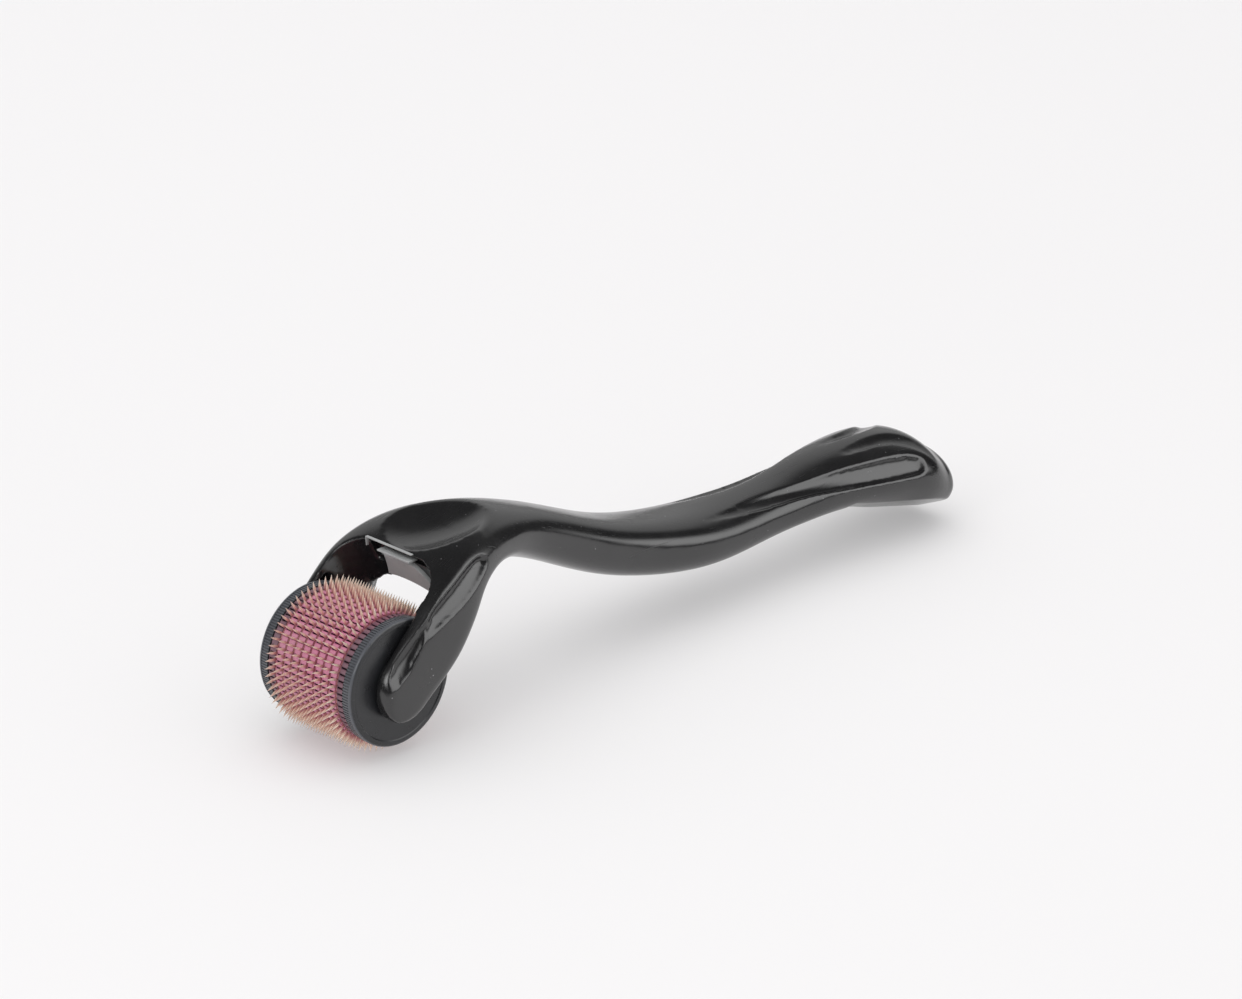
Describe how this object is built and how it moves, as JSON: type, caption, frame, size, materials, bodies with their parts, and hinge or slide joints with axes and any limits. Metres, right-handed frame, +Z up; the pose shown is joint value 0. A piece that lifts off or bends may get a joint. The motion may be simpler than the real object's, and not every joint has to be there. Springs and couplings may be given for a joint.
{
  "type": "derma roller",
  "caption": "Handheld derma roller: curved gloss handle with a two-armed fork that holds a free-spinning drum of rose plastic rings and gold needle discs.",
  "frame": {"origin": "bottom centre of the bounding box, on the surface that the roller and the tail stand on", "axes": "+X runs from the roller to the tail of the handle, +Y along the roller's axle, +Z up"},
  "size_m": [0.1335, 0.026, 0.0294],
  "materials": {
    "handle_plastic": "polished injection-moulded black",
    "cap_plastic": "satin moulded charcoal",
    "ring_plastic": "moulded rose plastic",
    "needle_metal": "gold-plated etched steel"
  },
  "bodies": {
    "handle": {"handle": "handle_plastic"},
    "roller": {"end_cap_left": "cap_plastic", "end_cap_right": "cap_plastic", "roller_core": "cap_plastic", "needle_disc_1": "needle_metal", "needle_disc_2": "needle_metal", "needle_disc_3": "needle_metal", "needle_disc_4": "needle_metal", "needle_disc_5": "needle_metal", "needle_disc_6": "needle_metal", "needle_disc_7": "needle_metal", "needle_disc_8": "needle_metal", "needle_disc_9": "needle_metal", "spacer_ring_1": "ring_plastic", "spacer_ring_2": "ring_plastic", "spacer_ring_3": "ring_plastic", "spacer_ring_4": "ring_plastic", "spacer_ring_5": "ring_plastic", "spacer_ring_6": "ring_plastic", "spacer_ring_7": "ring_plastic", "spacer_ring_8": "ring_plastic", "spacer_ring_9": "ring_plastic", "spacer_ring_10": "ring_plastic"}
  },
  "joints": [
    {"name": "roller_spin", "type": "hinge", "parent": "handle", "child": "roller", "pos_m": [-0.05505, 0, 0.0117], "axis": [0, 1, 0], "continuous": true}
  ]
}
